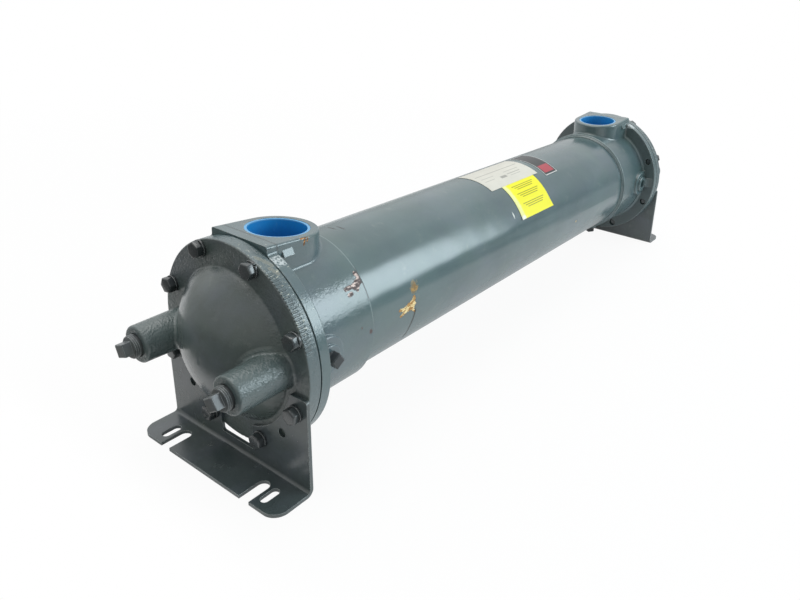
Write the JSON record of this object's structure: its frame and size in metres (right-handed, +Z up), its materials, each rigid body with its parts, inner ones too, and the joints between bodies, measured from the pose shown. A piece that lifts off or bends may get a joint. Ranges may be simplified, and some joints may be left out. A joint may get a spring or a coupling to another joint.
{
  "type": "shell and tube heat exchanger",
  "caption": "Horizontal shell and tube heat exchanger with bolted domed bonnets, capped top ports, plugged end bosses and bent plate feet with slots.",
  "frame": {"origin": "on the floor plane, midway between the feet and under the exchanger axis: the centre of the four closed foot slots", "axes": "+X along the exchanger towards the piped (far) end, +Z up, Y across; the plugged (near) end is at -X"},
  "size_m": [0.9351, 0.2024, 0.2207],
  "materials": {
    "shell_paint": "semi-gloss grey-blue enamel over brass, chipped in places",
    "hub_paint": "semi-gloss grey-blue enamel over cast brass",
    "bonnet_paint": "duller grey enamel over rough cast iron",
    "foot_paint": "satin dark grey enamel over steel plate",
    "tube_sheet_brass": "machined brass",
    "gasket_fibre": "compressed fibre",
    "cap_plastic": "moulded blue polyethylene",
    "plug_steel": "painted steel"
  },
  "bodies": {
    "root": {"shell_tube": "shell_paint", "near_solder_ring": "hub_paint", "far_solder_ring": "hub_paint", "near_hub": "hub_paint", "far_hub": "hub_paint", "near_tube_sheet": "tube_sheet_brass", "far_tube_sheet": "tube_sheet_brass", "near_gasket": "gasket_fibre", "far_gasket": "gasket_fibre", "near_bonnet": "bonnet_paint", "far_bonnet": "bonnet_paint", "near_foot": "foot_paint", "far_foot": "foot_paint", "near_port_cap": "cap_plastic", "far_port_cap": "cap_plastic", "near_left_plug": "plug_steel", "near_right_plug": "plug_steel", "near_vent_plug": "plug_steel", "near_drain_plug": "plug_steel", "far_drain_plug": "plug_steel"}
  },
  "joints": []
}
